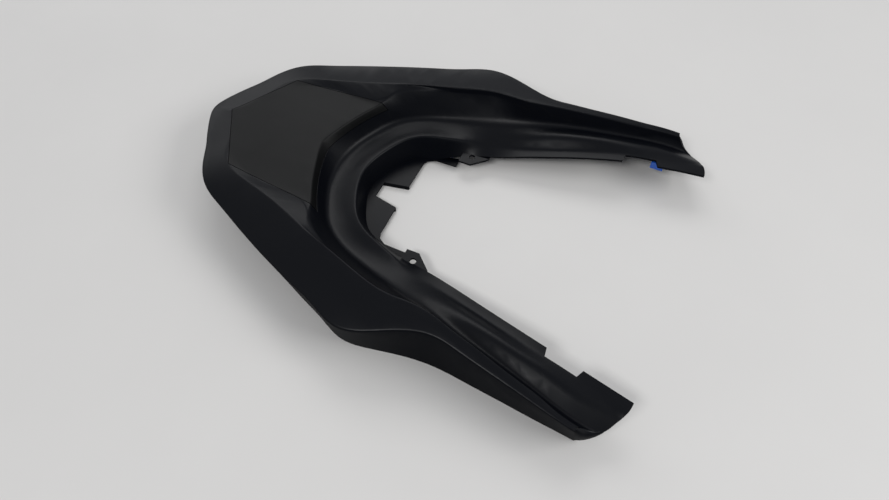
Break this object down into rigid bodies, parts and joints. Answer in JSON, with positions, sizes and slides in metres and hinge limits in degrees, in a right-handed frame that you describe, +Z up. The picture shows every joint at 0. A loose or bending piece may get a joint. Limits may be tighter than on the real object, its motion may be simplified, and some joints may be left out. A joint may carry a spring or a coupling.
{
  "type": "motorcycle tail junction cover",
  "caption": "U-shaped moulded cover that closes a motorcycle's tail behind the seat, with a pentagonal centre panel, screw tabs and clips under its leg tips.",
  "frame": {"origin": "centre of the box around the cover, on the surface that it rests on", "axes": "+X forward to the leg tips, +Y to the left, +Z up"},
  "size_m": [0.4965, 0.352, 0.0561],
  "materials": {
    "cover": "satin black, as moulded",
    "panel": "satin black, as moulded",
    "clip": "bright blue, as moulded"
  },
  "bodies": {
    "root": {"tail_shell": "cover", "centre_panel": "panel", "left_clip": "clip", "right_clip": "clip"}
  },
  "joints": []
}
